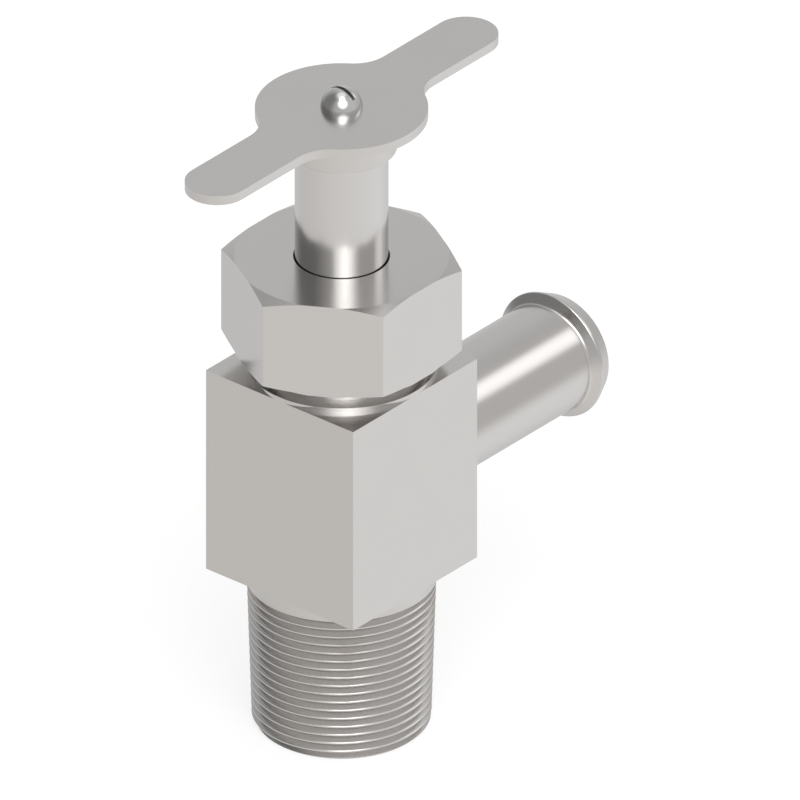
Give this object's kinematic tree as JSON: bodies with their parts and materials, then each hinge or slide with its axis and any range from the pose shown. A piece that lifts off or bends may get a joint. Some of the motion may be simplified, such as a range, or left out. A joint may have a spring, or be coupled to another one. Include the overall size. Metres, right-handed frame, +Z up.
{
  "type": "angle shut-off valve",
  "caption": "Angle shut-off valve with a taper-threaded inlet, a barbed hose outlet, a hexagonal packing nut and a tee handle that screws a soft disc onto its seat.",
  "frame": {"origin": "centre of the inlet nipple's lower end", "axes": "+Z up the stem, +X out of the outlet tube, handle arms along X at rest"},
  "size_m": [0.132, 0.0488, 0.167],
  "materials": {
    "satin_steel": "satin machined stainless steel",
    "turned_steel": "fine turned stainless steel",
    "polished_steel": "polished",
    "bronze": "turned bronze",
    "brass": "turned brass",
    "graphite": "pressed graphite packing, matt",
    "white_seal": "white sealing plastic, matt",
    "black_rubber": "matt"
  },
  "bodies": {
    "valve_body": {"valve_body": "satin_steel", "seat_ring": "turned_steel", "outlet_tube": "satin_steel", "packing_nut": "satin_steel", "stem_wiper": "black_rubber", "gland_follower": "brass", "packing_ring_upper": "graphite", "packing_ring_middle": "graphite", "packing_ring_lower": "graphite", "packing_washer": "turned_steel", "thread_bush": "bronze"},
    "disc_carrier": {"disc_holder": "turned_steel", "swivel_clip": "polished_steel", "seat_disc": "white_seal", "disc_washer": "turned_steel", "disc_screw": "polished_steel"},
    "spindle": {"spindle": "turned_steel", "handle_hub": "satin_steel", "handle_plate": "satin_steel", "handle_screw": "polished_steel"}
  },
  "joints": [
    {"name": "disc_lift", "type": "slide", "parent": "valve_body", "child": "disc_carrier", "axis": [0, 0, 1], "range_m": [-0.008, 0]},
    {"name": "handle_turn", "type": "hinge", "parent": "disc_carrier", "child": "spindle", "pos_m": [0, 0, 0.0714], "axis": [0, 0, 1], "range_deg": [-960, 0]}
  ],
  "couplings": [
    {"joint": "handle_turn", "follows": "disc_lift", "rad_per_m": 2094.4}
  ]
}
